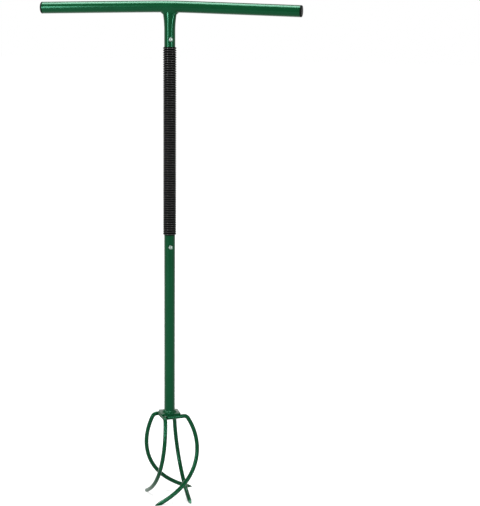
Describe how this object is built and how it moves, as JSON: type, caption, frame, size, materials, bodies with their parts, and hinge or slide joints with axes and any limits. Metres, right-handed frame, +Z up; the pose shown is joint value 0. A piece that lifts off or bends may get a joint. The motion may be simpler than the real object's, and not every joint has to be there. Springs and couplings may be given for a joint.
{
  "type": "garden cultivator",
  "caption": "T-handled garden claw: a green steel shaft in joined sections with a ribbed rubber sleeve, over a pinwheel head of bent round tines with chisel points.",
  "frame": {"origin": "on the floor under the tips, on the shaft's axis, which is the middle of the part's box", "axes": "+Z up the shaft, +X along the handlebar to its right end, -Y to the front, where the snap buttons face"},
  "size_m": [0.4964, 0.1365, 0.9492],
  "materials": {
    "green_paint": "glossy dark green enamel",
    "black_rubber": "satin ribbed rubber",
    "black_plastic": "dark moulded plastic",
    "bare_steel": "bare steel"
  },
  "bodies": {
    "tool": {"handlebar": "green_paint", "handle_stem": "green_paint", "handle_weld": "green_paint", "lower_tube": "green_paint", "shaft_weld": "green_paint", "base_plate": "green_paint", "tine_right": "green_paint", "tine_front": "green_paint", "tine_left": "green_paint", "tine_back": "green_paint", "tine_right_weld": "green_paint", "tine_front_weld": "green_paint", "tine_left_weld": "green_paint", "tine_back_weld": "green_paint", "handlebar_end_cap_left": "black_plastic", "handlebar_end_cap_right": "black_plastic", "middle_tube": "bare_steel", "upper_button_spring": "bare_steel", "lower_button_spring": "bare_steel", "grip_sleeve": "black_rubber"},
    "upper_button": {"upper_snap_button": "bare_steel"},
    "lower_button": {"lower_snap_button": "bare_steel"}
  },
  "joints": [
    {"name": "upper_button_press", "type": "slide", "parent": "tool", "child": "upper_button", "axis": [-0.4067, 0.9135, 0], "range_m": [0, 0.0045], "stiffness_N_per_m": 900, "springref_m": -0.003, "deforming": ["upper_button_spring"]},
    {"name": "lower_button_press", "type": "slide", "parent": "tool", "child": "lower_button", "axis": [-0.4067, 0.9135, 0], "range_m": [0, 0.0045], "stiffness_N_per_m": 900, "springref_m": -0.003, "deforming": ["lower_button_spring"]}
  ]
}
